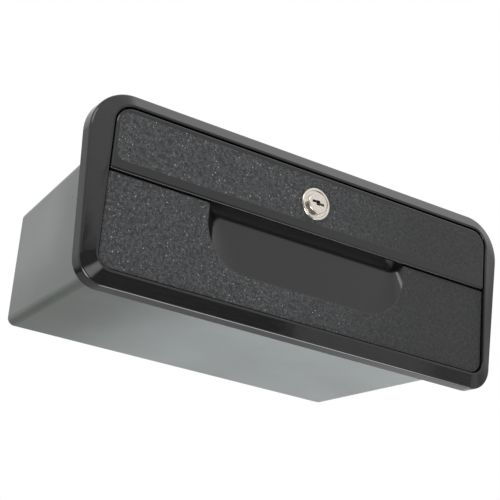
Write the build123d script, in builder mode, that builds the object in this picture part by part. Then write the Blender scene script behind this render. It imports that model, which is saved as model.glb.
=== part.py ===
from build123d import *
import os
from math import cos, radians, sin

# Recess-mounted lockable cash drawer. All sizes are in millimetres.
# +X is to the user's right, +Z is up and the front faces -Y.
# The origin is the centre of the bezel's rear plane, which rests on the counter panel.

os.makedirs("parts", exist_ok=True)

SIDES = {"left": -1, "right": 1}

# ---- driving dimensions ----

# Bezel: a hollow frame, a little wider at the top, whose face slopes forward to an inner lip
bezel_half_width = 210.0
bezel_half_height = 81.0
bezel_flare = 0.05
bezel_top_radius = 36.0
bezel_bottom_radius = 22.0
bezel_side_depth = 12.0
bezel_lip_depth = 17.6
bezel_land = 2.0
bezel_edge_radius = 2.4
bezel_wall = 3.0
bezel_lip_radius = 0.8
bezel_boss_radius = 3.4
bezel_boss_depth = 12.0
bezel_screw_x = (60.0, 160.0)
bezel_screw_z = 75.4
bezel_screw_skin = 1.0

# Brass inserts in the bezel's rear, the interface for machine screws
mount_x = 202.5
mount_z = 40.0
mount_boss_radius = 4.6
mount_boss_depth = 10.8
mount_insert_radius = 2.9
mount_insert_depth = 8.0
mount_thread_radius = 2.0

# Moving front: a textured lower panel with a finger scoop, and a fascia that stands proud above it
front_half_width = 193.0
front_bottom = -67.2
front_top = 67.3
seam_height = 11.8
seam_gap = 1.2
panel_face = -15.4
fascia_face = -17.8
front_back = -6.0
front_wall = 3.0
front_top_radius = 15.0
front_bottom_radius = 11.5
seam_corner_radius = 2.0
least_corner_radius = 0.5
front_gap = 1.0
panel_edge_radius = 0.8
fascia_edge_radius = 2.4
front_boss_radius = 4.0
front_boss_skin = 4.0
fascia_window_half = 104.0

# Finger scoop in the panel: a gently sloping floor, then a steeper pocket behind the fascia.
# Each station is a depth below the panel's face with its half width, floor height and corner radius.
scoop_stations = (
    (0.0, 101.0, -44.0, 42.0),
    (8.5, 95.5, 7.0, 8.0),
    (15.0, 92.0, 11.0, 4.5),
)
scoop_high = 21.0
scoop_high_radius = 5.0
scoop_wall = 2.2
scoop_overcut = 0.5

# Housing: a drafted box with a front flange
housing_half_width = 183.0
housing_low = -66.3
housing_high = 58.1
housing_depth = 196.0
housing_side_draft = 0.051
housing_floor_rise = 0.007
housing_roof_fall = 0.0857
housing_wall = 3.0
housing_edge_radius = 7.0
housing_rear_radius = 4.5
flange_thickness = 3.0
flange_margin = 3.4
flange_boss_clearance = 0.3
bumper_radius = 7.0
bumper_x = 100.0
bumper_z = -20.0
bumper_gap = 1.0
bumper_taper = 8.0
bumper_round = 2.0

# Slides: steel channels with nylon rollers
rail_web_x = 170.0
rail_sheet = 1.5
rail_low = -51.5
rail_high = -29.5
rail_inner_x = 159.0
rail_front_y = 2.0
rail_rear_y = 187.0
rail_pad_radius = 6.5
rail_pad_ys = (30.0, 104.0, 178.0)
rail_screw_depth = 2.8
rail_head_radius = 3.4
rail_head_height = 1.1
roller_radius = 8.0
roller_inner_x = 159.6
roller_outer_x = 165.6
roller_clearance = 0.3
roller_chamfer = 0.6
axle_radius = 2.5
axle_clearance = 0.05
axle_head_radius = 4.2
axle_collar_radius = 3.6
axle_head = 1.0
axle_gap = 0.2
front_roller_y = 12.0
rear_roller_y = 170.0
runner_high = -31.6
runner_low = -48.0
runner_outer_x = 166.2
runner_front_y = -3.0
runner_rear_y = 178.0
rivet_radius = 2.0
rivet_z = -38.0
rivet_ys = (12.0, 84.0, 156.0)

# Tray: folded sheet steel, open at the front where the front plate closes it
tray_half_width = 156.0
tray_sheet = 1.5
tray_low = -57.0
tray_high = 12.0
tray_rear_y = 180.0
tray_tab_width = 16.0
tray_screw_x = 148.0
tray_screw_zs = (-50.0, -25.0, 0.0)

# Front plate: steel, behind the two mouldings
plate_thickness = 1.5
plate_half_width = 186.0
plate_half_height = 61.0
plate_radius = 9.0
plate_window_low = -7.5
plate_window_high = 24.6
plate_window_half = 101.0
fascia_screws = [(x, 50.0) for x in (-172.0, -70.0, 70.0, 172.0)]
panel_screws = [(x, z) for x in (-172.0, 172.0) for z in (-52.0, -4.0)]

# Lock: wafer cam lock, unlocked at rest with its keyway level
lock_height = 38.8
ring_radius = 14.25
ring_thickness = 2.0
ring_round = 1.1
dish_radius = 11.6
dish_floor = 0.9
dish_round = 0.8
boss_radius = 9.3
boss_height = 4.6
boss_round = 0.8
barrel_radius = 9.0
barrel_rear_y = 3.2
plug_radius = 6.8
plug_clearance = 0.05
tail_radius = 5.6
tail_front_y = 2.6
tail_rear_y = 6.8
tail_end_y = 9.0
square_side = 6.4
nut_radius = 12.4
nut_thickness = 3.0
keyway_half = 6.0
keyway_height = 2.2
keyway_step = 0.7
keyway_throat = 0.6
keyway_depth = 22.0
wafer_count = 5
wafer_start = 5.0
wafer_pitch = 3.4
wafer_thickness = 1.0
wafer_gap = 0.05
wafer_half_length = 6.0
wafer_half_height = 2.7
wafer_window_half_length = 4.5
wafer_window_half_height = 1.9
cam_thickness = 2.0
cam_reach = 11.5
cam_half_width = 5.0
cam_hub_radius = 6.0
cam_tip_radius = 3.8
washer_thickness = 0.6
cam_screw_radius = 2.0
cam_screw_depth = 7.0
cam_head_radius = 3.8
strike_half_width = 14.0
strike_front_y = 4.0
strike_rear_y = 24.0
strike_low = 46.0
strike_high = 52.6
strike_sheet = 1.5
strike_corner_radius = 4.0
strike_pad_margin = 2.0
strike_screw_x = 9.0
strike_screw_y = 16.0
strike_screw_depth = 2.5

# Till insert: a note bay at each side and two columns of coin cups between them
insert_half_width = 153.0
insert_front_y = 12.5
insert_rear_y = 177.5
insert_low = -55.3
insert_rim = 2.0
insert_corner_radius = 3.0
insert_wall = 2.0
divider = 3.5
bay_width = 72.5
bay_floor = -52.0
cup_floor = -34.0
columns = 4
cup_rows = 3
cup_corner_radius = 7.0
cup_floor_radius = 5.0
bay_corner_radius = 4.0
bay_floor_radius = 2.0

# Note clips: sprung arms, each on a pin held by two ears of the insert
clip_y = 169.5
clip_z = 18.6
clip_reach = 104.0
clip_droop = 39.0
clip_half_width = 17.0
clip_sheet = 2.2
clip_barrel_radius = 3.2
clip_barrel_half = 27.0
clip_pad_radius = 4.0
pin_radius = 1.5
pin_clearance = 0.06
ear_thickness = 2.6
ear_half_length = 4.0
ear_high = 22.2
spring_radius = 2.5
spring_wire = 0.45
spring_pitch = 1.2
spring_turns = 5
spring_leg = 9.0

# Screws
screw_radius = 1.5
head_radius = 2.8
head_height = 1.7
thread_gap = 0.02
recess_depth = 0.9
recess_length = 3.0
recess_width = 0.7

# Reach either side of a level when the edges on it are picked
pick = 0.01

# ---- worked-out sizes ----

boss_front_y = fascia_face - boss_height
plate_rear_y = front_back + plate_thickness
rail_floor = rail_low + rail_sheet
rail_middle_z = (rail_low + rail_high) / 2
runner_under = runner_high - rail_sheet
runner_web_x = tray_half_width + rail_sheet
front_roller_z = runner_under - roller_radius - roller_clearance
rear_roller_z = rail_floor + roller_radius + roller_clearance
bezel_screw_xs = [side * x for x in bezel_screw_x for side in (-1, 1)]
bezel_screws_at = [(x, z) for x in bezel_screw_xs for z in (-bezel_screw_z, bezel_screw_z)]
mounts_at = [(x, z) for x in (-mount_x, mount_x) for z in (-mount_z, mount_z)]
tray_screws = [(s * tray_screw_x, z) for s in (-1, 1) for z in tray_screw_zs]
bay_pitch = bay_width + divider
column_xs = [(index - (columns - 1) / 2) * bay_pitch for index in range(columns)]
note_bay_xs = {"left": column_xs[0], "right": column_xs[-1]}
bay_length = insert_rear_y - insert_front_y - 2 * divider
bay_middle_y = (insert_front_y + insert_rear_y) / 2
cup_length = (bay_length - (cup_rows - 1) * divider) / cup_rows
cup_ys = [bay_middle_y + (row - 1) * (cup_length + divider) for row in range(cup_rows)]
cups_at = [(x, y) for x in column_xs[1:-1] for y in cup_ys]
bays_at = [(x, bay_middle_y) for x in note_bay_xs.values()]
insert_deck = tray_high + insert_rim


# ---- helpers ----

def upright(y):
    """Plane parallel to the front at depth y: its x is +X, its y is +Z and its normal is -Y."""
    return Plane.XZ.offset(-y)


def lock_plane(y):
    """Plane across the lock's axis at depth y, with its normal to the front."""
    return Plane(origin=(0, y, lock_height), x_dir=(1, 0, 0), z_dir=(0, -1, 0))


def rounded_outline(low_half, high_half, low, high, low_radius, high_radius):
    """Four-sided outline with one corner radius at the bottom and another at the top."""
    Polygon((-low_half, low), (low_half, low), (high_half, high), (-high_half, high), align=None)
    fillet(vertices().group_by(Axis.Y)[0], radius=low_radius)
    fillet(vertices().group_by(Axis.Y)[-1], radius=high_radius)


def bezel_outline(inset):
    """Outline of the bezel, brought in by inset all round."""
    lean = bezel_flare * bezel_half_height
    rounded_outline(
        bezel_half_width - lean - inset,
        bezel_half_width + lean - inset,
        -bezel_half_height + inset,
        bezel_half_height - inset,
        bezel_bottom_radius - inset,
        bezel_top_radius - inset,
    )


def opening_outline(grow):
    """Outline of the bezel's opening, grown outwards."""
    half = front_half_width + front_gap + grow
    rounded_outline(
        half,
        half,
        front_bottom - front_gap - grow,
        front_top + front_gap + grow,
        front_bottom_radius + front_gap + grow,
        front_top_radius + front_gap + grow,
    )


def panel_outline(inset):
    """Outline of the lower panel, brought in by inset."""
    half = front_half_width - inset
    rounded_outline(
        half,
        half,
        front_bottom + inset,
        seam_height - seam_gap / 2 - inset,
        front_bottom_radius - inset,
        max(seam_corner_radius - inset, least_corner_radius),
    )


def fascia_outline(inset):
    """Outline of the upper fascia, brought in by inset."""
    half = front_half_width - inset
    rounded_outline(
        half,
        half,
        seam_height + seam_gap / 2 + inset,
        front_top - inset,
        max(seam_corner_radius - inset, least_corner_radius),
        front_top_radius - inset,
    )


def housing_section(y, inset):
    """Cross-section of the drafted housing at depth y, brought in by inset."""
    half = housing_half_width - housing_side_draft * y - inset
    low = housing_low + housing_floor_rise * y + inset
    high = housing_high - housing_roof_fall * y - inset
    radius = housing_edge_radius - inset / 2
    rounded_outline(half, half, low, high, radius, radius)


def scoop_section(half, floor, corner, grow):
    """Outline of the finger scoop at one station, grown outwards."""
    rounded_outline(
        half + grow,
        half + grow,
        floor - grow,
        scoop_high + grow,
        corner + grow,
        scoop_high_radius + grow,
    )


def circles(plane, spots, radius):
    """One circle at each spot of a plane."""
    with BuildSketch(plane) as discs:
        with Locations(*spots):
            Circle(radius)
    return discs.sketch


def crosses(plane, spots):
    """One driver recess outline at each spot of a plane."""
    with BuildSketch(plane) as recesses:
        with Locations(*spots):
            Rectangle(recess_length, recess_width)
            Rectangle(recess_width, recess_length)
    return recesses.sketch


def pan_screws(seat_y, spots, length):
    """Pan-head screws that point to the front, with their heads behind the seat, added to a part."""
    head_plane = upright(seat_y + head_height)
    extrude(circles(head_plane, spots, head_radius), amount=head_height)
    extrude(circles(upright(seat_y), spots, screw_radius), amount=length)
    extrude(crosses(head_plane, spots), amount=recess_depth, mode=Mode.SUBTRACT)


def save(builder, name):
    """Label a finished piece and write its STEP file."""
    builder.part.label = name
    export_step(builder.part, f"parts/{name}.step")


# ---- bezel and what holds it ----

with BuildPart() as bezel:
    with BuildSketch(upright(0)):
        bezel_outline(0)
    extrude(amount=bezel_side_depth)
    with BuildSketch(upright(-bezel_side_depth)):
        bezel_outline(0)
    with BuildSketch(upright(-bezel_lip_depth)):
        opening_outline(bezel_land)
    loft()
    shoulder = bezel.edges().filter_by_position(
        Axis.Y, -bezel_side_depth - pick, -bezel_side_depth + pick
    )
    fillet(shoulder, radius=bezel_edge_radius)
    with BuildSketch(upright(0)):
        bezel_outline(bezel_wall)
    extrude(amount=bezel_side_depth - bezel_wall, mode=Mode.SUBTRACT)
    with BuildSketch(upright(-bezel_side_depth + bezel_wall)):
        bezel_outline(bezel_wall)
    with BuildSketch(upright(-bezel_lip_depth + bezel_wall)):
        opening_outline(bezel_land)
    loft(mode=Mode.SUBTRACT)
    with BuildSketch(upright(-flange_thickness)):
        opening_outline(bezel_wall)
    extrude(amount=bezel_lip_depth - flange_thickness - bezel_land)
    extrude(
        circles(upright(-flange_thickness), bezel_screws_at, bezel_boss_radius),
        amount=bezel_boss_depth - flange_thickness,
    )
    extrude(circles(upright(0), mounts_at, mount_boss_radius), amount=mount_boss_depth)
    with BuildSketch(upright(0)):
        opening_outline(0)
    extrude(amount=2 * bezel_lip_depth, mode=Mode.SUBTRACT)
    extrude(
        circles(upright(0), mounts_at, mount_insert_radius),
        amount=mount_insert_depth,
        mode=Mode.SUBTRACT,
    )
    extrude(
        circles(upright(-flange_thickness), bezel_screws_at, screw_radius + thread_gap),
        amount=bezel_boss_depth - flange_thickness - bezel_screw_skin,
        mode=Mode.SUBTRACT,
    )
    land = bezel.faces().sort_by(Axis.Y)[0]
    fillet(land.inner_wires()[0].edges(), radius=bezel_lip_radius)
save(bezel, "bezel")

with BuildPart() as mounting_inserts:
    extrude(circles(upright(0), mounts_at, mount_insert_radius), amount=mount_insert_depth)
    extrude(
        circles(upright(0), mounts_at, mount_thread_radius),
        amount=mount_insert_depth,
        mode=Mode.SUBTRACT,
    )
save(mounting_inserts, "mounting_inserts")

with BuildPart() as bezel_screws:
    extrude(
        circles(upright(0), bezel_screws_at, head_radius),
        amount=head_radius - screw_radius,
        taper=45,
    )
    extrude(circles(upright(0), bezel_screws_at, screw_radius), amount=bezel_boss_depth - bezel_land)
    extrude(crosses(upright(0), bezel_screws_at), amount=recess_depth, mode=Mode.SUBTRACT)
save(bezel_screws, "bezel_screws")

# ---- housing ----

rail_pads = [(side, y) for side in SIDES.values() for y in rail_pad_ys]

with BuildPart() as housing_shell:
    with BuildSketch(upright(0)):
        housing_section(0, 0)
    with BuildSketch(upright(housing_depth)):
        housing_section(housing_depth, 0)
    loft()
    fillet(housing_shell.faces().sort_by(Axis.Y)[-1].edges(), radius=housing_rear_radius)
    with BuildSketch(upright(0)):
        bezel_outline(flange_margin)
    extrude(amount=flange_thickness)
    with BuildSketch(upright(-flange_thickness)):
        housing_section(-flange_thickness, housing_wall)
    with BuildSketch(upright(housing_depth - housing_wall)):
        housing_section(housing_depth - housing_wall, housing_wall)
    loft(mode=Mode.SUBTRACT)
    extrude(
        circles(upright(0), mounts_at, mount_boss_radius + flange_boss_clearance),
        amount=flange_thickness,
        mode=Mode.SUBTRACT,
    )
    extrude(
        circles(upright(0), bezel_screws_at, head_radius),
        amount=head_radius - screw_radius,
        taper=45,
        mode=Mode.SUBTRACT,
    )
    extrude(
        circles(upright(0), bezel_screws_at, screw_radius),
        amount=flange_thickness,
        mode=Mode.SUBTRACT,
    )
    for side, y in rail_pads:
        reach = housing_half_width - housing_side_draft * y - housing_wall / 2 - rail_web_x
        pad_plane = Plane.YZ.offset(side * rail_web_x)
        extrude(circles(pad_plane, [(y, rail_middle_z)], rail_pad_radius), amount=side * reach)
        extrude(
            circles(pad_plane, [(y, rail_middle_z)], screw_radius),
            amount=side * rail_screw_depth,
            mode=Mode.SUBTRACT,
        )
    strike_middle_y = (strike_front_y + strike_rear_y) / 2
    with BuildSketch(Plane.XY.offset(strike_high)):
        with Locations((0, strike_middle_y)):
            Rectangle(
                2 * (strike_half_width + strike_pad_margin),
                strike_rear_y - strike_front_y + 2 * strike_pad_margin,
            )
    extrude(amount=housing_wall)
    strike_screws_at = [(-strike_screw_x, strike_screw_y), (strike_screw_x, strike_screw_y)]
    extrude(
        circles(Plane.XY.offset(strike_high), strike_screws_at, screw_radius),
        amount=strike_screw_depth,
        mode=Mode.SUBTRACT,
    )
save(housing_shell, "housing_shell")

with BuildPart() as rear_bumpers:
    bumpers_at = [(-bumper_x, bumper_z), (bumper_x, bumper_z)]
    bumper_rear_y = housing_depth - housing_wall
    bumper_length = bumper_rear_y - tray_rear_y - bumper_gap
    extrude(
        circles(upright(bumper_rear_y), bumpers_at, bumper_radius),
        amount=bumper_length,
        taper=bumper_taper,
    )
    fillet(rear_bumpers.faces().group_by(Axis.Y)[0].edges(), radius=bumper_round)
save(rear_bumpers, "rear_bumpers")

# ---- lock strike ----

with BuildPart() as lock_strike:
    with BuildSketch(Plane.XY.offset(strike_high - strike_sheet)):
        with Locations((0, strike_middle_y)):
            Rectangle(2 * strike_half_width, strike_rear_y - strike_front_y)
    extrude(amount=strike_sheet)
    strike_corners = lock_strike.edges().filter_by(Axis.Z).group_by(Axis.Y)[-1]
    fillet(strike_corners, radius=strike_corner_radius)
    with BuildSketch(upright(strike_front_y + strike_sheet)):
        with Locations((0, (strike_low + strike_high) / 2)):
            Rectangle(2 * strike_half_width, strike_high - strike_low)
    extrude(amount=strike_sheet)
    extrude(
        circles(Plane.XY.offset(strike_high), strike_screws_at, screw_radius),
        amount=-strike_sheet,
        mode=Mode.SUBTRACT,
    )
save(lock_strike, "lock_strike")

with BuildPart() as strike_screws:
    strike_under = strike_high - strike_sheet
    extrude(circles(Plane.XY.offset(strike_under), strike_screws_at, head_radius), amount=-head_height)
    extrude(
        circles(Plane.XY.offset(strike_under), strike_screws_at, screw_radius),
        amount=strike_sheet + strike_screw_depth,
    )
    strike_recesses = crosses(Plane.XY.offset(strike_under - head_height), strike_screws_at)
    extrude(strike_recesses, amount=recess_depth, mode=Mode.SUBTRACT)
save(strike_screws, "strike_screws")

# ---- slides ----

for name, side in SIDES.items():
    with BuildPart() as slide_rail:
        with BuildSketch(upright(rail_rear_y)):
            with Locations((side * (rail_inner_x + rail_web_x) / 2, rail_middle_z)):
                Rectangle(rail_web_x - rail_inner_x, rail_high - rail_low)
            with Locations((side * (rail_inner_x + rail_web_x - 2 * rail_sheet) / 2, rail_middle_z)):
                Rectangle(
                    rail_web_x - rail_inner_x,
                    rail_high - rail_low - 2 * rail_sheet,
                    mode=Mode.SUBTRACT,
                )
        extrude(amount=rail_rear_y - rail_front_y)
        web_plane = Plane.YZ.offset(side * rail_web_x)
        extrude(
            circles(web_plane, [(y, rail_middle_z) for y in rail_pad_ys], screw_radius),
            amount=-side * rail_sheet,
            mode=Mode.SUBTRACT,
        )
        extrude(
            circles(web_plane, [(front_roller_y, front_roller_z)], axle_radius),
            amount=-side * rail_sheet,
            mode=Mode.SUBTRACT,
        )
    save(slide_rail, f"slide_rail_{name}")

    with BuildPart() as runner:
        with BuildSketch(upright(runner_rear_y)):
            with Locations((side * (tray_half_width + rail_sheet / 2), (runner_low + runner_high) / 2)):
                Rectangle(rail_sheet, runner_high - runner_low)
            with Locations((side * (tray_half_width + runner_outer_x) / 2, runner_high - rail_sheet / 2)):
                Rectangle(runner_outer_x - tray_half_width, rail_sheet)
        extrude(amount=runner_rear_y - runner_front_y)
        runner_plane = Plane.YZ.offset(side * runner_web_x)
        extrude(
            circles(runner_plane, [(y, rivet_z) for y in rivet_ys], rivet_radius),
            amount=-side * rail_sheet,
            mode=Mode.SUBTRACT,
        )
        extrude(
            circles(runner_plane, [(rear_roller_y, rear_roller_z)], axle_radius),
            amount=-side * rail_sheet,
            mode=Mode.SUBTRACT,
        )
    save(runner, f"runner_{name}")

    roller_spots = {
        "front": (front_roller_y, front_roller_z),
        "rear": (rear_roller_y, rear_roller_z),
    }
    for place, spot in roller_spots.items():
        with BuildPart() as roller:
            roller_plane = Plane.YZ.offset(side * roller_inner_x)
            width = side * (roller_outer_x - roller_inner_x)
            extrude(circles(roller_plane, [spot], roller_radius), amount=width)
            chamfer(roller.edges(), length=roller_chamfer)
            extrude(
                circles(roller_plane, [spot], axle_radius + axle_clearance),
                amount=width,
                mode=Mode.SUBTRACT,
            )
        save(roller, f"{place}_roller_{name}")

with BuildPart() as rail_screws:
    for side in SIDES.values():
        screw_spots = [(y, rail_middle_z) for y in rail_pad_ys]
        web_inner = Plane.YZ.offset(side * (rail_web_x - rail_sheet))
        extrude(circles(web_inner, screw_spots, rail_head_radius), amount=-side * rail_head_height)
        extrude(
            circles(web_inner, screw_spots, screw_radius),
            amount=side * (rail_sheet + rail_screw_depth),
        )
save(rail_screws, "rail_screws")

with BuildPart() as front_axles:
    for side in SIDES.values():
        spot = [(front_roller_y, front_roller_z)]
        head_x = roller_inner_x - axle_head - axle_gap
        collar_x = roller_outer_x + axle_gap
        shank = circles(Plane.YZ.offset(side * head_x), spot, axle_radius)
        extrude(shank, amount=side * (rail_web_x - head_x))
        head = circles(Plane.YZ.offset(side * head_x), spot, axle_head_radius)
        extrude(head, amount=side * axle_head)
        collar = circles(Plane.YZ.offset(side * collar_x), spot, axle_collar_radius)
        extrude(collar, amount=side * (rail_web_x - rail_sheet - collar_x))
        tail = circles(Plane.YZ.offset(side * rail_web_x), spot, axle_head_radius)
        extrude(tail, amount=side * axle_head)
save(front_axles, "front_axles")

with BuildPart() as rear_axles:
    for side in SIDES.values():
        spot = [(rear_roller_y, rear_roller_z)]
        head_x = roller_outer_x + axle_gap
        wall_x = tray_half_width - tray_sheet
        shank = circles(Plane.YZ.offset(side * wall_x), spot, axle_radius)
        extrude(shank, amount=side * (head_x - wall_x))
        head = circles(Plane.YZ.offset(side * head_x), spot, axle_head_radius)
        extrude(head, amount=side * axle_head)
        collar = circles(Plane.YZ.offset(side * runner_web_x), spot, axle_collar_radius)
        extrude(collar, amount=side * (roller_inner_x - axle_gap - runner_web_x))
        tail = circles(Plane.YZ.offset(side * wall_x), spot, axle_head_radius)
        extrude(tail, amount=-side * axle_head)
save(rear_axles, "rear_axles")

# ---- tray ----

with BuildPart() as drawer_tray:
    tray_length = tray_rear_y - plate_rear_y
    with BuildSketch(Plane.XY.offset(tray_low)):
        with Locations((0, (tray_rear_y + plate_rear_y) / 2)):
            Rectangle(2 * tray_half_width, tray_length)
    extrude(amount=tray_high - tray_low)
    with BuildSketch(Plane.XY.offset(tray_low + tray_sheet)):
        with Locations((0, (tray_rear_y + plate_rear_y) / 2 - tray_sheet)):
            Rectangle(2 * (tray_half_width - tray_sheet), tray_length)
    extrude(amount=tray_high - tray_low, mode=Mode.SUBTRACT)
    with BuildSketch(upright(plate_rear_y + tray_sheet)):
        for side in SIDES.values():
            tab_x = side * (tray_half_width - tray_sheet / 2 - tray_tab_width / 2)
            with Locations((tab_x, (tray_low + tray_high) / 2)):
                Rectangle(tray_tab_width, tray_high - tray_low)
    extrude(amount=tray_sheet)
    extrude(
        circles(upright(plate_rear_y + tray_sheet), tray_screws, screw_radius),
        amount=tray_sheet,
        mode=Mode.SUBTRACT,
    )
    for side in SIDES.values():
        wall_plane = Plane.YZ.offset(side * tray_half_width)
        extrude(
            circles(wall_plane, [(y, rivet_z) for y in rivet_ys], rivet_radius),
            amount=-side * tray_sheet,
            mode=Mode.SUBTRACT,
        )
        extrude(
            circles(wall_plane, [(rear_roller_y, rear_roller_z)], axle_radius),
            amount=-side * tray_sheet,
            mode=Mode.SUBTRACT,
        )
save(drawer_tray, "drawer_tray")

with BuildPart() as runner_rivets:
    for side in SIDES.values():
        rivet_spots = [(y, rivet_z) for y in rivet_ys]
        wall_x = tray_half_width - tray_sheet
        wall_plane = Plane.YZ.offset(side * wall_x)
        extrude(circles(wall_plane, rivet_spots, rivet_radius), amount=side * (runner_web_x - wall_x))
        extrude(circles(wall_plane, rivet_spots, 2 * rivet_radius), amount=-side * axle_head)
save(runner_rivets, "runner_rivets")

# ---- moving front ----

with BuildPart() as front_plate:
    with BuildSketch(upright(plate_rear_y)):
        RectangleRounded(2 * plate_half_width, 2 * plate_half_height, plate_radius)
        with Locations((0, (plate_window_low + plate_window_high) / 2)):
            Rectangle(
                2 * plate_window_half,
                plate_window_high - plate_window_low,
                mode=Mode.SUBTRACT,
            )
        with Locations((0, lock_height)):
            Circle(barrel_radius, mode=Mode.SUBTRACT)
        with Locations(*fascia_screws, *panel_screws, *tray_screws):
            Circle(screw_radius, mode=Mode.SUBTRACT)
    extrude(amount=plate_thickness)
save(front_plate, "front_plate")

with BuildPart() as front_panel:
    with BuildSketch(upright(front_back)):
        panel_outline(0)
    extrude(amount=front_back - panel_face)
    fillet(front_panel.faces().sort_by(Axis.Y)[0].edges(), radius=panel_edge_radius)
    with BuildSketch(upright(front_back)):
        panel_outline(front_wall)
    extrude(amount=front_back - panel_face - front_wall, mode=Mode.SUBTRACT)
    for depth, half, floor, corner in scoop_stations:
        with BuildSketch(upright(panel_face + depth + scoop_wall)):
            scoop_section(half, floor, corner, scoop_wall)
    loft(ruled=True)
    bosses_at = panel_screws + tray_screws
    extrude(
        circles(upright(front_back), bosses_at, front_boss_radius),
        amount=front_back - panel_face - front_wall / 2,
    )
    with BuildSketch(upright(panel_face - scoop_overcut)):
        scoop_section(*scoop_stations[0][1:], 0)
    for depth, half, floor, corner in scoop_stations:
        with BuildSketch(upright(panel_face + depth)):
            scoop_section(half, floor, corner, 0)
    loft(ruled=True, mode=Mode.SUBTRACT)
    extrude(
        circles(upright(front_back), bosses_at, screw_radius),
        amount=front_back - panel_face - front_boss_skin,
        mode=Mode.SUBTRACT,
    )
save(front_panel, "front_panel")

with BuildPart() as upper_fascia:
    with BuildSketch(upright(front_back)):
        fascia_outline(0)
    extrude(amount=front_back - fascia_face)
    fillet(upper_fascia.faces().sort_by(Axis.Y)[0].edges(), radius=fascia_edge_radius)
    with BuildSketch(upright(front_back)):
        fascia_outline(front_wall)
    extrude(amount=front_back - fascia_face - front_wall, mode=Mode.SUBTRACT)
    with BuildSketch(upright(front_back)):
        with Locations((0, (front_bottom + scoop_high) / 2)):
            Rectangle(2 * fascia_window_half, scoop_high - front_bottom + 2 * front_wall)
    extrude(amount=front_back - fascia_face - front_wall, mode=Mode.SUBTRACT)
    extrude(
        circles(upright(front_back), fascia_screws, front_boss_radius),
        amount=front_back - fascia_face - front_wall / 2,
    )
    extrude(
        circles(upright(front_back), fascia_screws, screw_radius),
        amount=front_back - fascia_face - front_boss_skin,
        mode=Mode.SUBTRACT,
    )
    extrude(
        circles(upright(front_back), [(0, lock_height)], barrel_radius + front_wall),
        amount=front_back - fascia_face - front_wall / 2,
    )
    extrude(
        circles(upright(front_back), [(0, lock_height)], barrel_radius),
        amount=front_back - fascia_face,
        mode=Mode.SUBTRACT,
    )
save(upper_fascia, "upper_fascia")

with BuildPart() as front_screws:
    screw_reach = plate_rear_y - panel_face - front_boss_skin
    pan_screws(plate_rear_y, fascia_screws + panel_screws, screw_reach)
    pan_screws(plate_rear_y + tray_sheet, tray_screws, screw_reach + tray_sheet)
save(front_screws, "front_screws")

# ---- lock ----

with BuildPart() as lock_body:
    with BuildSketch(lock_plane(fascia_face)):
        Circle(ring_radius)
    extrude(amount=ring_thickness)
    fillet(lock_body.faces().sort_by(Axis.Y)[0].edges(), radius=ring_round)
    with BuildSketch(lock_plane(fascia_face - dish_floor)):
        Circle(dish_radius)
    extrude(amount=ring_thickness, mode=Mode.SUBTRACT)
    bead = lock_body.faces().sort_by(Axis.Y)[0]
    fillet(bead.inner_wires()[0].edges(), radius=dish_round)
    with BuildSketch(lock_plane(fascia_face)):
        Circle(boss_radius)
    extrude(amount=boss_height)
    fillet(lock_body.faces().sort_by(Axis.Y)[0].edges(), radius=boss_round)
    with BuildSketch(lock_plane(fascia_face)):
        Circle(barrel_radius)
    extrude(amount=fascia_face - barrel_rear_y)
    with BuildSketch(lock_plane(boss_front_y)):
        Circle(plug_radius + plug_clearance)
    extrude(amount=boss_front_y - barrel_rear_y, mode=Mode.SUBTRACT)
save(lock_body, "lock_body")

with BuildPart() as lock_nut:
    with BuildSketch(lock_plane(plate_rear_y + nut_thickness)):
        RegularPolygon(radius=nut_radius, side_count=6)
        Circle(barrel_radius, mode=Mode.SUBTRACT)
    extrude(amount=nut_thickness)
save(lock_nut, "lock_nut")

wafer_ys = [boss_front_y + wafer_start + index * wafer_pitch for index in range(wafer_count)]

with BuildPart() as lock_plug:
    with BuildSketch(lock_plane(boss_front_y)):
        Circle(plug_radius)
    extrude(amount=boss_front_y - tail_front_y)
    with BuildSketch(lock_plane(tail_front_y)):
        Circle(tail_radius)
    extrude(amount=tail_front_y - tail_rear_y)
    with BuildSketch(lock_plane(tail_rear_y)):
        Rectangle(square_side, square_side)
    extrude(amount=tail_rear_y - tail_end_y)
    with BuildSketch(lock_plane(boss_front_y)):
        with Locations((-keyway_half / 2, keyway_step)):
            Rectangle(keyway_half, keyway_height)
        with Locations((keyway_half / 2, -keyway_step)):
            Rectangle(keyway_half, keyway_height)
        Rectangle(keyway_half * keyway_throat, 2 * keyway_height)
    extrude(amount=-keyway_depth, mode=Mode.SUBTRACT)
    for y in wafer_ys:
        with BuildSketch(lock_plane(y)):
            Rectangle(4 * plug_radius, 2 * (wafer_half_height + wafer_gap))
        extrude(amount=-wafer_thickness - 2 * wafer_gap, mode=Mode.SUBTRACT)
    with BuildSketch(lock_plane(tail_end_y)):
        Circle(cam_screw_radius)
    extrude(amount=cam_screw_depth, mode=Mode.SUBTRACT)
save(lock_plug, "lock_plug")

with BuildPart() as lock_wafers:
    for y in wafer_ys:
        with BuildSketch(lock_plane(y + wafer_gap)):
            Rectangle(2 * wafer_half_length, 2 * wafer_half_height)
            Rectangle(
                2 * wafer_window_half_length,
                2 * wafer_window_half_height,
                mode=Mode.SUBTRACT,
            )
        extrude(amount=-wafer_thickness)
save(lock_wafers, "lock_wafers")

with BuildPart() as lock_cam:
    with BuildSketch(lock_plane(tail_end_y)):
        with Locations((cam_reach / 2, 0)):
            Rectangle(cam_reach, 2 * cam_half_width)
        fillet(vertices().group_by(Axis.X)[-1], radius=cam_tip_radius)
        Circle(cam_hub_radius)
        Rectangle(square_side, square_side, mode=Mode.SUBTRACT)
    extrude(amount=cam_thickness)
save(lock_cam, "lock_cam")

with BuildPart() as cam_washer:
    with BuildSketch(lock_plane(tail_end_y + washer_thickness)):
        Circle(tail_radius)
        Circle(cam_screw_radius, mode=Mode.SUBTRACT)
    extrude(amount=washer_thickness)
save(cam_washer, "cam_washer")

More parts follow.
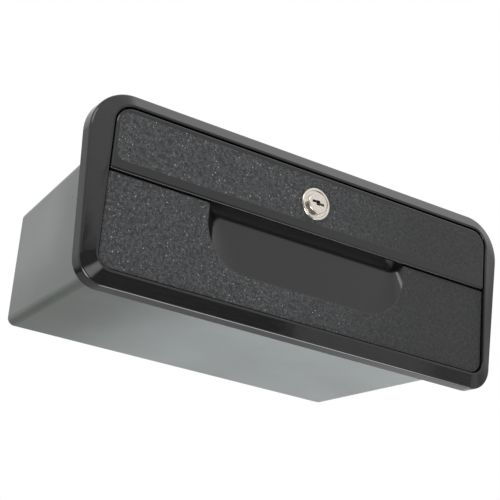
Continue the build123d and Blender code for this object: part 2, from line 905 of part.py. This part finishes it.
with BuildPart() as cam_screw:
    washer_rear_y = tail_end_y + washer_thickness
    with BuildSketch(lock_plane(washer_rear_y + head_height)):
        Circle(cam_head_radius)
    extrude(amount=head_height)
    with BuildSketch(lock_plane(washer_rear_y)):
        Circle(cam_screw_radius)
    extrude(amount=washer_thickness + cam_screw_depth)
    with BuildSketch(lock_plane(washer_rear_y + head_height)):
        Rectangle(2 * recess_length, recess_width)
    extrude(amount=recess_depth, mode=Mode.SUBTRACT)
save(cam_screw, "cam_screw")

# ---- till insert ----

with BuildPart() as till_insert:
    insert_length = insert_rear_y - insert_front_y
    with BuildSketch(Plane.XY.offset(insert_low)):
        with Locations((0, bay_middle_y)):
            Rectangle(2 * insert_half_width, insert_length)
    extrude(amount=tray_high - insert_low)
    with BuildSketch(Plane.XY.offset(insert_low)):
        with Locations((0, bay_middle_y)):
            Rectangle(2 * (insert_half_width - insert_wall), insert_length - 2 * insert_wall)
    extrude(amount=tray_high - insert_low, mode=Mode.SUBTRACT)
    with BuildSketch(Plane.XY.offset(tray_high)):
        with Locations((0, bay_middle_y)):
            RectangleRounded(
                2 * tray_half_width,
                2 * (tray_rear_y - bay_middle_y),
                insert_corner_radius,
            )
    extrude(amount=insert_rim)
    with BuildSketch(Plane.XY.offset(cup_floor - insert_wall)):
        with Locations(*cups_at):
            Rectangle(bay_width + divider, cup_length + divider)
    extrude(amount=tray_high - cup_floor + insert_wall)
    with BuildSketch(Plane.XY.offset(bay_floor - insert_wall)):
        with Locations(*bays_at):
            Rectangle(bay_width + divider, bay_length + divider)
    extrude(amount=tray_high - bay_floor + insert_wall)
    with BuildSketch(Plane.XY.offset(tray_high)):
        for x in note_bay_xs.values():
            for end in (-1, 1):
                with Locations((x + end * (bay_width + ear_thickness) / 2, clip_y)):
                    Rectangle(ear_thickness, 2 * ear_half_length)
    extrude(amount=ear_high - tray_high)
    with BuildSketch(Plane.XY.offset(cup_floor)):
        with Locations(*cups_at):
            RectangleRounded(bay_width, cup_length, cup_corner_radius)
    extrude(amount=insert_deck - cup_floor, mode=Mode.SUBTRACT)
    cup_feet = till_insert.edges().filter_by_position(Axis.Z, cup_floor - pick, cup_floor + pick)
    fillet(cup_feet, radius=cup_floor_radius)
    with BuildSketch(Plane.XY.offset(bay_floor)):
        with Locations(*bays_at):
            RectangleRounded(bay_width, bay_length, bay_corner_radius)
    extrude(amount=insert_deck - bay_floor, mode=Mode.SUBTRACT)
    bay_feet = till_insert.edges().filter_by_position(Axis.Z, bay_floor - pick, bay_floor + pick)
    fillet(bay_feet, radius=bay_floor_radius)
    pin_holes = circles(Plane.YZ, [(clip_y, clip_z)], pin_radius)
    extrude(pin_holes, amount=insert_half_width, both=True, mode=Mode.SUBTRACT)
save(till_insert, "till_insert")

with BuildPart() as clip_pins:
    for x in note_bay_xs.values():
        pin = circles(Plane.YZ.offset(x), [(clip_y, clip_z)], pin_radius)
        extrude(pin, amount=bay_width / 2 + ear_thickness, both=True)
save(clip_pins, "clip_pins")

for name, x in note_bay_xs.items():
    with BuildPart() as note_clip:
        tip_y = clip_y - clip_reach * cos(radians(clip_droop))
        tip_z = clip_z - clip_reach * sin(radians(clip_droop))
        with BuildSketch(Plane.YZ.offset(x)):
            with Locations(((clip_y + tip_y) / 2, (clip_z + tip_z) / 2)):
                Rectangle(clip_reach, clip_sheet, rotation=clip_droop)
        extrude(amount=clip_half_width, both=True)
        pad = circles(Plane.YZ.offset(x), [(tip_y, tip_z)], clip_pad_radius)
        extrude(pad, amount=clip_half_width, both=True)
        barrel = circles(Plane.YZ.offset(x), [(clip_y, clip_z)], clip_barrel_radius)
        extrude(barrel, amount=clip_barrel_half, both=True)
        bore = circles(Plane.YZ.offset(x), [(clip_y, clip_z)], pin_radius + pin_clearance)
        extrude(bore, amount=bay_width, both=True, mode=Mode.SUBTRACT)
    save(note_clip, f"note_clip_{name}")

with BuildPart() as clip_springs:
    for x in note_bay_xs.values():
        with BuildLine() as coil:
            Helix(
                pitch=spring_pitch,
                height=spring_pitch * spring_turns,
                radius=spring_radius,
                center=(x + clip_barrel_half + spring_pitch, clip_y, clip_z),
                direction=(1, 0, 0),
            )
        wire_section = circles(Plane(origin=coil.line @ 0, z_dir=coil.line % 0), [(0, 0)], spring_wire)
        sweep(wire_section, path=coil.line)
        leg_section = circles(Plane(origin=coil.line @ 1, z_dir=coil.line % 1), [(0, 0)], spring_wire)
        extrude(leg_section, amount=spring_leg)
save(clip_springs, "clip_springs")
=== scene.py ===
import bpy
from mathutils import Matrix, Vector


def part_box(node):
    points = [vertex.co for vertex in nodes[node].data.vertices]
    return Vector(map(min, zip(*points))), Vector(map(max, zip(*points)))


# A recess-mounted cash drawer: the finishes of its pieces, and the studio round it.
# Metres, +X to the user's right, +Z up, the front faces -Y. No piece is added or reshaped.

MM = 0.001

# Outputs of the texture coordinate node, and sockets of the colour mix node.
GENERATED, OBJECT = 0, 3
MIX_AMOUNT, MIX_LOW, MIX_HIGH, MIX_RESULT = 0, 6, 7, 2

WHITE = (1, 1, 1, 1)

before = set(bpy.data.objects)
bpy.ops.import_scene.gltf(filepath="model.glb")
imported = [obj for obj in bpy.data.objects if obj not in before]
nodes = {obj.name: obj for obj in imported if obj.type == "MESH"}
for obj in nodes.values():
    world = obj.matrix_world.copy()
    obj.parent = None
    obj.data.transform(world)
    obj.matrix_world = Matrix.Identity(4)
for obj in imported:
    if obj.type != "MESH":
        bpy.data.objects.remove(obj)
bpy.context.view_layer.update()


# ---- shader maths ----

class Sock:
    """A number or colour socket of a node, with arithmetic that adds Math nodes."""

    def __init__(self, shader, socket):
        self.shader = shader
        self.socket = socket

    def math(self, operation, *others):
        values = dict(enumerate((self, *others)))
        return self.shader.node("ShaderNodeMath", values, operation=operation)[0]

    def __add__(self, other):
        return self.math("ADD", other)

    def __radd__(self, other):
        return self.math("ADD", other)

    def __sub__(self, other):
        return self.math("SUBTRACT", other)

    def __rsub__(self, other):
        return (self * -1).math("ADD", other)

    def __mul__(self, other):
        return self.math("MULTIPLY", other)

    def __rmul__(self, other):
        return self.math("MULTIPLY", other)

    def most(self, other):
        return self.math("MAXIMUM", other)

    def size(self):
        return self.math("ABSOLUTE")

    def ramp(self, start, end):
        """0 below start, 1 above end, and a smooth step between them."""
        values = {"Value": self, "From Min": start, "From Max": end, "To Min": 0.0, "To Max": 1.0}
        return self.shader.node("ShaderNodeMapRange", values, interpolation_type="SMOOTHSTEP")[0]

    def band(self, start, end, soft):
        """1 from start to end, and 0 outside them, over soft edges."""
        return self.ramp(start - soft, start + soft) * (1 - self.ramp(end - soft, end + soft))


class Shader:
    """The node tree of a material or a world, with one method that adds any node."""

    def __init__(self, owner, output_kind, space):
        owner.use_nodes = True
        self.owner = owner
        self.tree = owner.node_tree
        self.tree.nodes.clear()
        self.output = self.tree.nodes.new(output_kind)
        self.place = self.node("ShaderNodeTexCoord")[space]

    def node(self, kind, values=None, **settings):
        """Adds a node, sets its settings, then its sockets, and returns its outputs as a list."""
        made = self.tree.nodes.new(kind)
        for key, value in settings.items():
            setattr(made, key, value)
        for key, value in (values or {}).items():
            if isinstance(value, Sock):
                self.tree.links.new(value.socket, made.inputs[key])
            else:
                made.inputs[key].default_value = value
        return [Sock(self, output) for output in made.outputs]

    def axes(self):
        """The place's x, y and z as three sockets."""
        return self.node("ShaderNodeSeparateXYZ", {0: self.place})[:3]

    def noise(self, scale, detail=2.0, roughness=0.5, stretch=(1, 1, 1)):
        """Noise from 0 to 1 with scale cells per metre."""
        spot = self.node("ShaderNodeMapping", {"Vector": self.place, "Scale": stretch})[0]
        values = {"Vector": spot, "Scale": scale, "Detail": detail, "Roughness": roughness}
        return self.node("ShaderNodeTexNoise", values)[0]

    def cells(self, scale):
        """Distance to the nearest cell centre and a random number of that cell, scale cells per metre."""
        values = {"Vector": self.place, "Scale": scale}
        distance, colour = self.node("ShaderNodeTexVoronoi", values)[:2]
        return distance, self.node("ShaderNodeSeparateXYZ", {0: colour})[0]

    def blend(self, amount, low, high):
        """Mixes two colours."""
        values = {MIX_AMOUNT: amount, MIX_LOW: low, MIX_HIGH: high}
        return self.node("ShaderNodeMix", values, data_type="RGBA")[MIX_RESULT]

    def bump(self, height, distance, strength=1.0, below=None):
        """A normal from a height, on top of another bump where below is given."""
        values = {"Height": height, "Distance": distance, "Strength": strength}
        if below is not None:
            values["Normal"] = below
        return self.node("ShaderNodeBump", values)[0]

    def finish(self, values, kind="ShaderNodeBsdfPrincipled"):
        """Ends the tree in a shader node with these values or links, and returns its owner."""
        surface = self.node(kind, values)[0]
        self.tree.links.new(surface.socket, self.output.inputs["Surface"])
        return self.owner


def new_finish(name):
    """An empty material's shader, in the object's own coordinates."""
    return Shader(bpy.data.materials.new(name), "ShaderNodeOutputMaterial", OBJECT)


def grey(value, warm=0.0):
    """A neutral linear colour, warmer where warm is above 0."""
    return (value * (1 + warm), value, value * (1 - warm), 1.0)


# ---- finishes ----

GLOSS_LOW = grey(0.007)
GLOSS_HIGH = grey(0.011)


def polished_black():
    """Gloss black moulding with a faint ripple and hair marks."""
    s = new_finish("polished_black")
    ripple = s.noise(90, detail=2, roughness=0.4)
    orange_peel = s.noise(700, detail=2, roughness=0.5)
    wipe = s.noise(240, detail=4, roughness=0.6, stretch=(0.25, 1, 2.5))
    relief = s.bump(ripple, 0.15 * MM, strength=0.2)
    relief = s.bump(orange_peel, 0.01 * MM, strength=0.15, below=relief)
    return s.finish({
        "Base Color": s.blend(wipe.ramp(0.35, 0.75), GLOSS_LOW, GLOSS_HIGH),
        "Roughness": 0.035 + 0.03 * wipe,
        "IOR": 1.5,
        "Normal": relief,
    })


# The grained front, as linear greys.
GRAIN_SHADE = grey(0.016, -0.05)
GRAIN_LIGHT = grey(0.060, -0.05)
GRAIN_PIT = grey(0.005)
# Painted sparkle highlights of the grain.
GRAIN_SPARKLE = grey(0.24, -0.05)
GRAIN_GLINT = grey(0.42, -0.04)
# Painted shade of the grain towards the right.
GRAIN_RIGHT_SHADE = grey(0.012, -0.02)
# Painted light deep in the scoop, paler than the gloss.
SCOOP_PAINTED_LIGHT = grey(0.09)

# Painted shade towards the right: the grain's painted sparkle fades and the grain darkens from the first x
# on, and most from the second.
RIGHT_SHADE_START, RIGHT_SHADE_END = -0.03, 0.13
RIGHT_SHADE_SHARE = 0.55
RIGHT_SHADE_GAIN = 1.2

# Painted light: the scoop turns into its painted paler back between these depths.
SCOOP_MOUTH, SCOOP_DEEP = -8 * MM, -4 * MM

# Cells per metre.
FLECK_CELLS = 900
GLINT_CELLS = 430


def grained_black(grain_mask):
    """Charcoal moulding: grain with painted sparkle highlights and painted shade towards the right where the
    mask function gives 1, and gloss elsewhere, painted paler deep in the scoop.
    """
    s = new_finish("grained_black")
    x, y, z = s.axes()
    mask = grain_mask(x, y, z)
    # Painted shade: 1 on the left, lower towards the right, where the painted sparkle fades and the grain is
    # darkened.
    painted_light_share = 1 - RIGHT_SHADE_SHARE * x.ramp(RIGHT_SHADE_START, RIGHT_SHADE_END)
    spot, lot = s.cells(FLECK_CELLS)
    broad, chance = s.cells(GLINT_CELLS)
    # Painted highlights: sparkle specks and glints of the grain, in the base colour.
    sparkles = (1 - spot.ramp(0.22, 0.50)) * lot.ramp(0.55, 0.95)
    glints = (1 - broad.ramp(0.10, 0.30)) * chance.ramp(0.78, 0.95)
    pits = (1 - spot.ramp(0.30, 0.60)) * (1 - lot.ramp(0.15, 0.35))
    fine = s.noise(1500, detail=3, roughness=0.65)
    coarse = s.noise(330, detail=3, roughness=0.7)
    patchy = s.noise(60, detail=2, roughness=0.5).ramp(0.3, 0.7)
    grain = (1 - spot) * 0.6 + fine * 0.7 + coarse * 0.5 - 0.95
    relief = s.bump(grain * mask, 0.5 * MM, strength=0.9)
    # Painted light: 1 deep in the scoop, away from the grain.
    scoop_painted_light = y.ramp(SCOOP_MOUTH, SCOOP_DEEP) * (1 - mask)
    cloud = s.noise(45, detail=3, roughness=0.6)
    plain = s.blend(cloud, GLOSS_LOW, GLOSS_HIGH)
    plain = s.blend(scoop_painted_light, plain, SCOOP_PAINTED_LIGHT)
    grained = s.blend(coarse.ramp(0.38, 0.62), GRAIN_SHADE, GRAIN_LIGHT)
    grained = s.blend(pits * 0.9, grained, GRAIN_PIT)
    # Painted sparkle highlights, fading with the painted shade towards the right.
    grained = s.blend(sparkles * painted_light_share * (0.45 + 0.35 * patchy), grained, GRAIN_SPARKLE)
    grained = s.blend(glints * painted_light_share, grained, GRAIN_GLINT)
    # Painted shade: the grain darkens towards the right.
    grained = s.blend((1 - painted_light_share) * RIGHT_SHADE_GAIN, grained, GRAIN_RIGHT_SHADE)
    return s.finish({
        "Base Color": s.blend(mask, plain, grained),
        "Roughness": 0.10 + 0.42 * mask + 0.06 * fine,
        "Normal": relief,
    })


# The darkest and palest tones of the housing's painted shading.
HOUSING_SHADE = (0.045, 0.052, 0.046, 1)
HOUSING_LIGHT = (0.200, 0.220, 0.222, 1)

# The housing's underside ends at HOUSING_FLOOR, and the painted light on its side is strongest from
# HOUSING_MIDDLE up.
HOUSING_FLOOR, HOUSING_SILL, HOUSING_MIDDLE = -0.066, -0.058, 0.0
HOUSING_DEPTH = 0.13
HOUSING_LEFT, HOUSING_CENTRE = -0.19, -0.02


def satin_grey():
    """Satin housing plastic with painted light and shade: paler higher up and further back on the sides and
    towards the middle of the underside, darker near the front and the left edge, and a random paler cloud.
    """
    s = new_finish("satin_grey")
    x, y, z = s.axes()
    peel = s.noise(420, detail=3, roughness=0.55)
    cloud = s.noise(14, detail=4, roughness=0.6)
    marks = s.noise(60, detail=3, roughness=0.6, stretch=(0.3, 1, 1.6))
    relief = s.bump(peel, 0.02 * MM, strength=0.12)
    depth = y.ramp(0.0, HOUSING_DEPTH)
    height = z.ramp(HOUSING_FLOOR, HOUSING_MIDDLE)
    middle = x.ramp(HOUSING_LEFT, HOUSING_CENTRE)
    under = 1 - z.ramp(HOUSING_FLOOR, HOUSING_SILL)
    # Painted light and shade: the side is paler higher up and further back, the underside paler towards the
    # middle and darker at the left and towards the back.
    side_painted_light = (1 - under) * (0.03 + 0.29 * depth * height)
    underside_painted_shading = under * (0.02 + 0.75 * middle - 0.12 * depth)
    # The painted shading plus a random cloud.
    painted_shading_and_cloud = side_painted_light + underside_painted_shading + 0.40 * (cloud - 0.5)
    return s.finish({
        "Base Color": s.blend(painted_shading_and_cloud.ramp(-0.1, 1.0), HOUSING_SHADE, HOUSING_LIGHT),
        "Roughness": 0.24 + 0.05 * marks + 0.05 * cloud,
        "Normal": relief,
    })


def bright_nickel():
    """Warm nickel plate with fine turning marks."""
    s = new_finish("bright_nickel")
    cloud = s.noise(600, detail=3, roughness=0.6)
    turning = s.noise(2600, detail=2, roughness=0.5)
    return s.finish({
        "Base Color": s.blend(cloud, (0.60, 0.56, 0.50, 1), (0.78, 0.74, 0.68, 1)),
        "Metallic": 1.0,
        "Roughness": 0.16 + 0.10 * cloud,
        "Normal": s.bump(turning, 0.01 * MM, strength=0.3),
    })


def zinc_plate():
    """Zinc-plated steel with drawn lines and a cloudy passivation."""
    s = new_finish("zinc_plate")
    drawn = s.noise(900, detail=4, roughness=0.6, stretch=(1, 0.03, 1))
    cloud = s.noise(60, detail=4, roughness=0.65)
    return s.finish({
        "Base Color": s.blend(cloud, (0.50, 0.52, 0.54, 1), (0.66, 0.66, 0.62, 1)),
        "Metallic": 1.0,
        "Roughness": 0.26 + 0.16 * drawn + 0.10 * cloud,
        "Normal": s.bump(drawn, 0.02 * MM, strength=0.4),
    })


def powder_black():
    """Black powder coat on folded steel."""
    s = new_finish("powder_black")
    pebble = s.noise(1100, detail=3, roughness=0.6)
    cloud = s.noise(30, detail=3, roughness=0.6)
    return s.finish({
        "Base Color": s.blend(cloud, grey(0.020), grey(0.032)),
        "Roughness": 0.42 + 0.14 * pebble,
        "Normal": s.bump(pebble, 0.06 * MM, strength=0.5),
    })


def till_black():
    """Satin black moulding of the till insert, with fine grain."""
    s = new_finish("till_black")
    pebble = s.noise(1500, detail=2, roughness=0.5)
    rub = s.noise(70, detail=5, roughness=0.7)
    return s.finish({
        "Base Color": s.blend(rub.ramp(0.4, 0.8), grey(0.022), grey(0.042)),
        "Roughness": 0.38 + 0.16 * rub,
        "Normal": s.bump(pebble, 0.04 * MM, strength=0.45),
    })


def natural_nylon():
    """Translucent-looking natural nylon."""
    s = new_finish("natural_nylon")
    cloud = s.noise(300, detail=3, roughness=0.6)
    return s.finish({
        "Base Color": s.blend(cloud, (0.66, 0.64, 0.57, 1), (0.78, 0.77, 0.70, 1)),
        "Roughness": 0.38 + 0.12 * cloud,
        "Subsurface Weight": 0.15,
        "Subsurface Radius": (3 * MM, 3 * MM, 2 * MM),
        "Normal": s.bump(cloud, 0.02 * MM, strength=0.3),
    })


def black_rubber():
    """Matt black rubber."""
    s = new_finish("black_rubber")
    dust = s.noise(500, detail=4, roughness=0.7)
    return s.finish({
        "Base Color": s.blend(dust, grey(0.018), grey(0.04)),
        "Roughness": 0.72 + 0.2 * dust,
        "Normal": s.bump(dust, 0.05 * MM, strength=0.4),
    })


def turned_brass():
    """Machined brass with turning lines."""
    s = new_finish("turned_brass")
    cloud = s.noise(500, detail=3, roughness=0.6)
    turning = s.noise(1800, detail=2, roughness=0.5, stretch=(1, 0.1, 1))
    return s.finish({
        "Base Color": s.blend(cloud, (0.58, 0.40, 0.15, 1), (0.76, 0.56, 0.26, 1)),
        "Metallic": 1.0,
        "Roughness": 0.24 + 0.16 * cloud,
        "Normal": s.bump(turning, 0.02 * MM, strength=0.4),
    })


def clothe(names, material):
    """Gives CAD nodes one material."""
    for name in names:
        slots = nodes[name].data.materials
        slots.clear()
        slots.append(material)


# ---- grain areas of the front ----

fascia_low, fascia_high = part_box("upper_fascia")
panel_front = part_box("front_panel")[0].y

# The smooth bands round the fascia's grain, and the corner radius and soft edge of the grain.
BOTTOM_BAND = 8.5 * MM
TOP_BAND = 4.5 * MM
END_BAND = 2.6 * MM
GRAIN_CORNER = 9 * MM
GRAIN_FADE = 1.0 * MM

# How far behind each face its grain starts to fade, and where it ends.
FASCIA_FADE = (0.05 * MM, 0.5 * MM)
PANEL_FADE = (0.12 * MM, 0.6 * MM)


def on_face(y, front, fade):
    """1 at a face, and 0 behind it."""
    start, end = fade
    return 1 - y.ramp(front + start, front + end)


def fascia_grain(x, y, z):
    """1 on the fascia's face, which ends in smooth bands: thin at the top and ends, broad at the bottom."""
    low = fascia_low.z + BOTTOM_BAND
    high = fascia_high.z - TOP_BAND
    half_x = fascia_high.x - END_BAND - GRAIN_CORNER
    half_z = (high - low) / 2 - GRAIN_CORNER
    over_x = (x.size() - half_x).most(0)
    over_z = ((z - (low + high) / 2).size() - half_z).most(0)
    reach = (over_x * over_x + over_z * over_z).math("SQRT")
    inside = 1 - reach.ramp(GRAIN_CORNER - GRAIN_FADE, GRAIN_CORNER)
    return inside * on_face(y, fascia_low.y, FASCIA_FADE)


def panel_grain(x, y, z):
    """1 on the panel's flat face, and 0 in the scoop."""
    return on_face(y, panel_front, PANEL_FADE)


clothe(["upper_fascia"], grained_black(fascia_grain))
clothe(["front_panel"], grained_black(panel_grain))
clothe(["bezel"], polished_black())
clothe(["housing_shell"], satin_grey())
clothe(["lock_body", "lock_plug"], bright_nickel())
clothe(["drawer_tray", "front_plate"], powder_black())
clothe(["till_insert", "note_clip_left", "note_clip_right"], till_black())
clothe(["rear_bumpers"], black_rubber())
clothe(["mounting_inserts"], turned_brass())
clothe(["front_roller_left", "front_roller_right", "rear_roller_left", "rear_roller_right"], natural_nylon())
clothe(
    [
        "lock_wafers", "bezel_screws", "lock_strike", "strike_screws", "slide_rail_left", "slide_rail_right",
        "rail_screws", "front_axles", "runner_left", "runner_right", "runner_rivets", "rear_axles",
        "front_screws", "lock_nut", "lock_cam", "cam_washer", "cam_screw", "clip_pins",
        "clip_springs",
    ],
    zinc_plate(),
)


# ---- studio ----

def soft_light(name, spot, aim, size, power):
    """A rectangular area light that faces a point."""
    lamp = bpy.data.lights.new(name, "AREA")
    lamp.shape = "RECTANGLE"
    lamp.size, lamp.size_y = size
    lamp.energy = power
    holder = bpy.data.objects.new(name, lamp)
    holder.location = spot
    holder.rotation_euler = (Vector(aim) - Vector(spot)).to_track_quat("-Z", "Y").to_euler()
    bpy.context.scene.collection.objects.link(holder)


# Strengths of the sky's areas, where an even studio is 1.
SKY_LEVEL = 0.98
UNDER_LOSS, RIGHT_LOSS, SIDE_LOSS, FLOOR_LOSS = 0.16, 0.15, 0.35, 0.45
OVERHEAD_GAIN, LEFT_GAIN = 0.7, 0.25
DARK_SHARE, STREAK_SHARE, WINDOW_SHARE, LOW_RIGHT_SHARE = 0.78, 0.45, 0.5, 0.45
CORNER_LAMP_GAIN, UNDER_LAMP_GAIN, CORNER_GLOW_GAIN = 9.0, 6.0, 2.6

# Directions of its lamps.
CORNER_LAMP = (-0.61, -0.25, -0.75)
UNDER_LAMP = (0.47, 0.10, -0.88)
CORNER_GLOW = (-0.10, -0.96, -0.25)


def studio_sky():
    """White all round, with the darker and brighter areas that the gloss faces mirror."""
    world = bpy.data.worlds.new("studio")
    bpy.context.scene.world = world
    s = Shader(world, "ShaderNodeOutputWorld", GENERATED)
    x, y, z = s.axes()

    def towards(direction, start, end):
        """0 away from a direction and 1 at it, between two cosines."""
        a, b, c = direction
        return (x * a + y * b + z * c).ramp(start, end)

    # Areas of the sky, each from 0 to 1.
    front = 1 - y.ramp(-0.50, -0.15)
    behind = y.ramp(0.3, 0.7)
    under = 1 - z.ramp(-0.30, -0.05)
    right = x.ramp(0.78, 0.96)
    low_right = x.ramp(0.85, 0.93) * (1 - z.ramp(0.30, 0.35))
    sweep = x + y * (0.38 - 0.83 * z)
    dark = (1 - sweep.ramp(-0.012, 0.012)) * front * (1 - z.ramp(0.305, 0.345))
    streak = (sweep + y * 0.22).band(0.0, 0.06, 0.012) * (1 - z.ramp(-0.2, -0.1))
    window = x.band(-0.355, -0.285, 0.005) * z.band(0.378, 0.445, 0.005) * front
    side_fade = behind * (1 - x.ramp(-0.42, -0.35))
    floor_fade = behind * under * (1 - x.ramp(0.52, 0.70))
    left_glow = (1 - x.ramp(-0.2, 0.1)) * (1 - y.ramp(-0.6, -0.2)) * z.ramp(0.3, 0.4)
    overhead = x.ramp(0.25, 0.42) * z.ramp(0.66, 0.84) * (1 - y.ramp(0.1, 0.5))
    corner_lamp = towards(CORNER_LAMP, 0.94, 0.97)
    under_lamp = towards(UNDER_LAMP, 0.955, 0.985)
    corner_glow = towards(CORNER_GLOW, 0.970, 0.995)

    glow = SKY_LEVEL - UNDER_LOSS * under - RIGHT_LOSS * right
    glow = glow - SIDE_LOSS * side_fade - FLOOR_LOSS * floor_fade
    glow = glow + OVERHEAD_GAIN * overhead + LEFT_GAIN * left_glow
    glow = glow * (1 - DARK_SHARE * dark) * (1 - STREAK_SHARE * streak)
    glow = glow * (1 - WINDOW_SHARE * window) * (1 - LOW_RIGHT_SHARE * low_right)
    glow = glow + CORNER_LAMP_GAIN * corner_lamp + UNDER_LAMP_GAIN * under_lamp
    glow = glow + CORNER_GLOW_GAIN * corner_glow

    # The camera itself sees plain white.
    seen = s.node("ShaderNodeLightPath")[0]
    strength = seen + (1 - seen) * glow
    s.finish({"Color": WHITE, "Strength": strength}, kind="ShaderNodeBackground")


CAMERA_SPOT = (-0.60606, -0.88697, -0.39730)
CAMERA_RIGHT = (0.82746, -0.55533, 0.08313)
CAMERA_AHEAD = (0.49869, 0.79482, 0.34579)
LENS_MM = 97.45
SENSOR_MM = 36


def place_camera():
    """A long lens, below the part and to its left."""
    ahead = Vector(CAMERA_AHEAD).normalized()
    up = Vector(CAMERA_RIGHT).cross(ahead).normalized()
    right = ahead.cross(up).normalized()
    camera = bpy.data.cameras.new("camera")
    camera.lens = LENS_MM
    camera.sensor_width = SENSOR_MM
    camera.clip_end = 50
    holder = bpy.data.objects.new("camera", camera)
    turn = Matrix((right, up, -ahead)).transposed().to_4x4()
    holder.matrix_world = Matrix.Translation(CAMERA_SPOT) @ turn
    bpy.context.scene.collection.objects.link(holder)
    bpy.context.scene.camera = holder


soft_light("key", spot=(-1.4, -1.0, 1.4), aim=(0, 0, 0), size=(1.1, 0.9), power=10)
studio_sky()
place_camera()
bpy.context.scene.view_settings.view_transform = "Standard"
bpy.context.scene.view_settings.look = "None"
